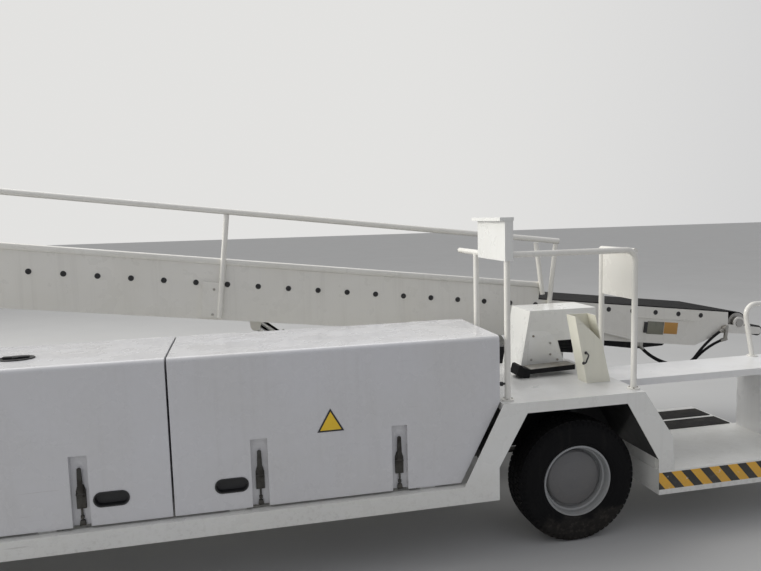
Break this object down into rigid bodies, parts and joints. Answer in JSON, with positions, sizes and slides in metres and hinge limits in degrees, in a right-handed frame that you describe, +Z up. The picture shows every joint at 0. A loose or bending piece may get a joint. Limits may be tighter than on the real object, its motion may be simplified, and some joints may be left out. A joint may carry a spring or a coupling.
{
  "type": "self-propelled baggage belt loader",
  "caption": "Self-propelled airport baggage belt loader with a low chassis, side operator platform, hinged side covers and a sloped belt boom with a handrail.",
  "frame": {"origin": "centre of the bounding box on the ground", "axes": "+X to the rear, loading end; -Y to the left, driver side; +Z up"},
  "size_m": [8.3, 2.05, 2.3087],
  "materials": {
    "ivory_paint": "warm white gloss paint with age and road dirt",
    "cream_paint": "yellowed cream paint",
    "dark_paint": "black chassis paint, dusty",
    "wheel_paint": "silver-grey satin paint",
    "tyre": "worn black tyre rubber",
    "black_rubber": "matt black",
    "belt_rubber": "black ribbed conveyor rubber",
    "bare_steel": "dull bare steel",
    "chrome_rod": "hard chrome",
    "lamp_plastic": "clear lamp lenses"
  },
  "bodies": {
    "chassis": {"main_rails": "ivory_paint", "cross_members": "ivory_paint", "side_sills": "ivory_paint", "side_skirts": "ivory_paint", "wheel_houses": "dark_paint", "front_body": "ivory_paint", "lamps": "lamp_plastic", "tow_hitch": "dark_paint", "rear_axle": "dark_paint", "front_axle": "dark_paint", "platform": "ivory_paint", "rear_deck": "ivory_paint", "deck_treads": "black_rubber", "walkway": "ivory_paint", "grab_hoop": "ivory_paint", "guard_rail": "ivory_paint", "control_box": "ivory_paint", "control_column": "cream_paint", "foot_pedal": "black_rubber", "side_console": "ivory_paint", "power_pack": "dark_paint", "cover_frame": "ivory_paint", "right_lockers": "ivory_paint", "boom_mounts": "ivory_paint"},
    "rear_cover": {"rear_cover": "ivory_paint"},
    "front_cover": {"front_cover": "ivory_paint"},
    "left_steer": {"left_knuckle": "dark_paint"},
    "right_steer": {"right_knuckle": "dark_paint"},
    "track_rod": {"tie_rod": "bare_steel"},
    "rear_left_roller": {"rear_left_tyre": "tyre", "rear_left_wheel": "wheel_paint"},
    "rear_right_roller": {"rear_right_tyre": "tyre", "rear_right_wheel": "wheel_paint"},
    "front_left_roller": {"front_left_tyre": "tyre", "front_left_wheel": "wheel_paint"},
    "front_right_roller": {"front_right_tyre": "tyre", "front_right_wheel": "wheel_paint"},
    "boom": {"boom_plates": "ivory_paint", "boom_bed": "ivory_paint", "belt_rollers": "bare_steel", "belt": "belt_rubber", "drums": "bare_steel", "end_arms": "ivory_paint", "end_rollers": "black_rubber", "boom_rail": "ivory_paint", "rail_posts": "ivory_paint", "boom_hoses": "black_rubber"},
    "lift_barrel": {"lift_barrels": "ivory_paint"},
    "lift_rod": {"lift_rods": "chrome_rod"}
  },
  "joints": [
    {"name": "rear_cover_hinge", "type": "hinge", "parent": "chassis", "child": "rear_cover", "pos_m": [0.7, -0.391, 1.166], "axis": [-1, 0, 0], "range_deg": [0, 75]},
    {"name": "front_cover_hinge", "type": "hinge", "parent": "chassis", "child": "front_cover", "pos_m": [-0.8, -0.391, 1.166], "axis": [-1, 0, 0], "range_deg": [0, 75]},
    {"name": "steer_left", "type": "hinge", "parent": "chassis", "child": "left_steer", "pos_m": [-1.85, -0.75, 0.341], "axis": [0, 0, 1], "range_deg": [-30, 30]},
    {"name": "steer_right", "type": "hinge", "parent": "chassis", "child": "right_steer", "pos_m": [-1.85, 0.75, 0.341], "axis": [0, 0, 1], "range_deg": [-31, 31]},
    {"name": "track_rod_slide", "type": "slide", "parent": "chassis", "child": "track_rod", "axis": [0, 1, 0], "range_m": [-0.08, 0.08]},
    {"name": "rear_left_spin", "type": "hinge", "parent": "chassis", "child": "rear_left_roller", "pos_m": [1.95, -0.88, 0.341], "axis": [0, 1, 0], "continuous": true},
    {"name": "front_left_spin", "type": "hinge", "parent": "left_steer", "child": "front_left_roller", "pos_m": [-1.85, -0.88, 0.341], "axis": [0, 1, 0], "continuous": true},
    {"name": "rear_right_spin", "type": "hinge", "parent": "chassis", "child": "rear_right_roller", "pos_m": [1.95, 0.88, 0.341], "axis": [0, 1, 0], "continuous": true},
    {"name": "front_right_spin", "type": "hinge", "parent": "right_steer", "child": "front_right_roller", "pos_m": [-1.85, 0.88, 0.341], "axis": [0, 1, 0], "continuous": true},
    {"name": "boom_lift", "type": "hinge", "parent": "chassis", "child": "boom", "pos_m": [2.46, 0.555, 0.846], "axis": [0, 1, 0], "range_deg": [-5, 15]},
    {"name": "lift_barrel_swing", "type": "hinge", "parent": "chassis", "child": "lift_barrel", "pos_m": [1.1, 0.555, 0.48], "axis": [0, 1, 0], "range_deg": [-8.5, 25]},
    {"name": "lift_rod_slide", "type": "slide", "parent": "lift_barrel", "child": "lift_rod", "axis": [-0.7951, 0, 0.6064], "range_m": [-0.11, 0.33]}
  ],
  "couplings": [
    {"joint": "steer_right", "follows": "steer_left", "ratio": 1},
    {"joint": "track_rod_slide", "follows": "steer_left", "m_per_rad": 0.15},
    {"joint": "lift_barrel_swing", "follows": "boom_lift", "ratio": 1.6},
    {"joint": "lift_rod_slide", "follows": "boom_lift", "m_per_rad": 1.2376}
  ]
}
